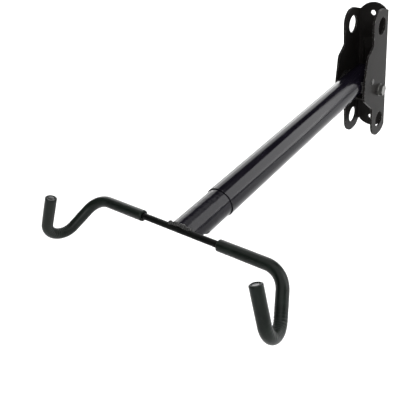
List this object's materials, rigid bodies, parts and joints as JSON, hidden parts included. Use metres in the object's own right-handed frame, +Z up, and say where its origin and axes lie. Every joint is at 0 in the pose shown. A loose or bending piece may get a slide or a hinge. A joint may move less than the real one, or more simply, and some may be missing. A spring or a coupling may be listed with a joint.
{
  "type": "folding bicycle wall rack",
  "caption": "Wall rack that holds a bicycle by its top tube: a pressed steel bracket, a tubular arm that folds up and a swivelling rod with sleeved hooks.",
  "frame": {"origin": "midway between the two wall screws, on the back face of the wall plate", "axes": "+Z up, +Y into the wall, so the arm reaches along -Y; +X to the right of someone facing the wall"},
  "size_m": [0.2692, 0.4732, 0.177],
  "materials": {
    "gloss_black_plate": "gloss",
    "gloss_black_tube": "gloss",
    "dark_steel": "satin",
    "zinc_fasteners": "satin",
    "painted_weld": "satin",
    "black_nylon": "matte",
    "black_rod": "satin",
    "sleeve_rubber": "matte"
  },
  "bodies": {
    "bracket": {"wall_bracket": "gloss_black_plate", "pivot_pin": "dark_steel", "stop_bolt": "zinc_fasteners", "stop_nut": "zinc_fasteners", "stop_washers": "zinc_fasteners", "stop_spacer": "dark_steel"},
    "arm": {"arm_tube": "gloss_black_tube", "root_channel": "gloss_black_plate", "root_welds": "painted_weld", "pivot_bush": "dark_steel", "thrust_washers": "black_nylon", "swivel_pin": "dark_steel"},
    "head": {"head_tube": "gloss_black_tube", "hook_rod": "black_rod", "rod_weld": "painted_weld", "sleeve_left": "sleeve_rubber", "sleeve_right": "sleeve_rubber"}
  },
  "joints": [
    {"name": "arm_fold", "type": "hinge", "parent": "bracket", "child": "arm", "pos_m": [0, -0.0465, 0], "axis": [-1, 0, 0], "range_deg": [0, 90]},
    {"name": "head_swivel", "type": "hinge", "parent": "arm", "child": "head", "pos_m": [0, -0.354, 0], "axis": [0, -1, 0], "range_deg": [-20, 20]}
  ]
}
